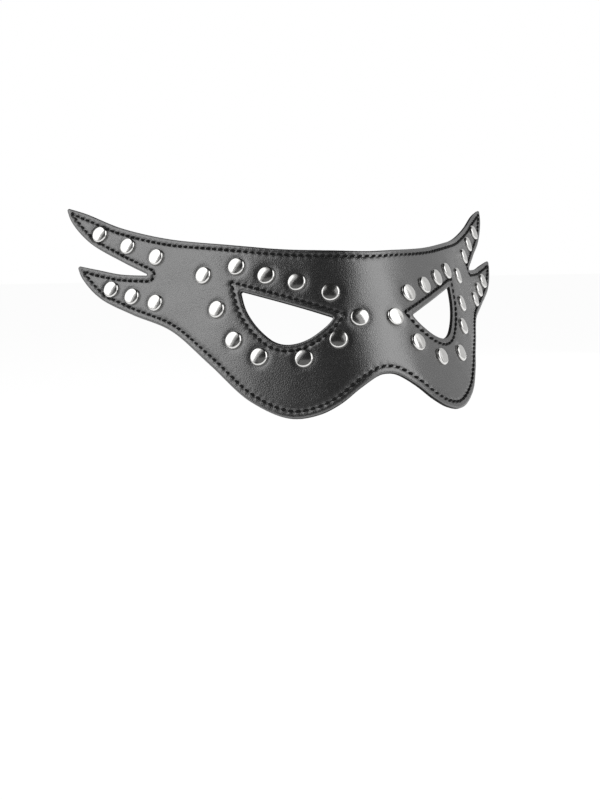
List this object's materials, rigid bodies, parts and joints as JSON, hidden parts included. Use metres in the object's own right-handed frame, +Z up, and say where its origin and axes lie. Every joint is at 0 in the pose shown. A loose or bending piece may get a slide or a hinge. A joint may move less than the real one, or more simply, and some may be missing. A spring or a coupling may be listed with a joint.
{
  "type": "eye mask",
  "caption": "Cat-eye mask of black faux leather bent round the brow, with stitched edges, forked wing tips and domed metal rivets round the eye holes.",
  "frame": {"origin": "inner face of the lining at the bridge of the nose, on the mask's centre line, where it rests on the face", "axes": "front of the mask faces -Y, the wearer's left is +X, +Z up"},
  "size_m": [0.231, 0.1346, 0.0924],
  "materials": {
    "leather": "black faux leather, fine grain, satin",
    "lining": "black faux leather lining, matt, fine nap",
    "nickel": "bright nickel plate, polished",
    "thread": "thick black sewing thread"
  },
  "bodies": {
    "root": {"face_leather": "leather", "lining_leather": "lining", "rivet_right_01": "nickel", "rivet_right_02": "nickel", "rivet_right_03": "nickel", "rivet_right_04": "nickel", "rivet_right_05": "nickel", "rivet_right_06": "nickel", "rivet_right_07": "nickel", "rivet_right_08": "nickel", "rivet_right_09": "nickel", "rivet_right_10": "nickel", "rivet_right_11": "nickel", "rivet_right_12": "nickel", "rivet_right_13": "nickel", "rivet_right_14": "nickel", "rivet_right_15": "nickel", "rivet_right_16": "nickel", "rivet_right_17": "nickel", "rivet_left_01": "nickel", "rivet_left_02": "nickel", "rivet_left_03": "nickel", "rivet_left_04": "nickel", "rivet_left_05": "nickel", "rivet_left_06": "nickel", "rivet_left_07": "nickel", "rivet_left_08": "nickel", "rivet_left_09": "nickel", "rivet_left_10": "nickel", "rivet_left_11": "nickel", "rivet_left_12": "nickel", "rivet_left_13": "nickel", "rivet_left_14": "nickel", "rivet_left_15": "nickel", "rivet_left_16": "nickel", "rivet_left_17": "nickel"}
  },
  "joints": []
}
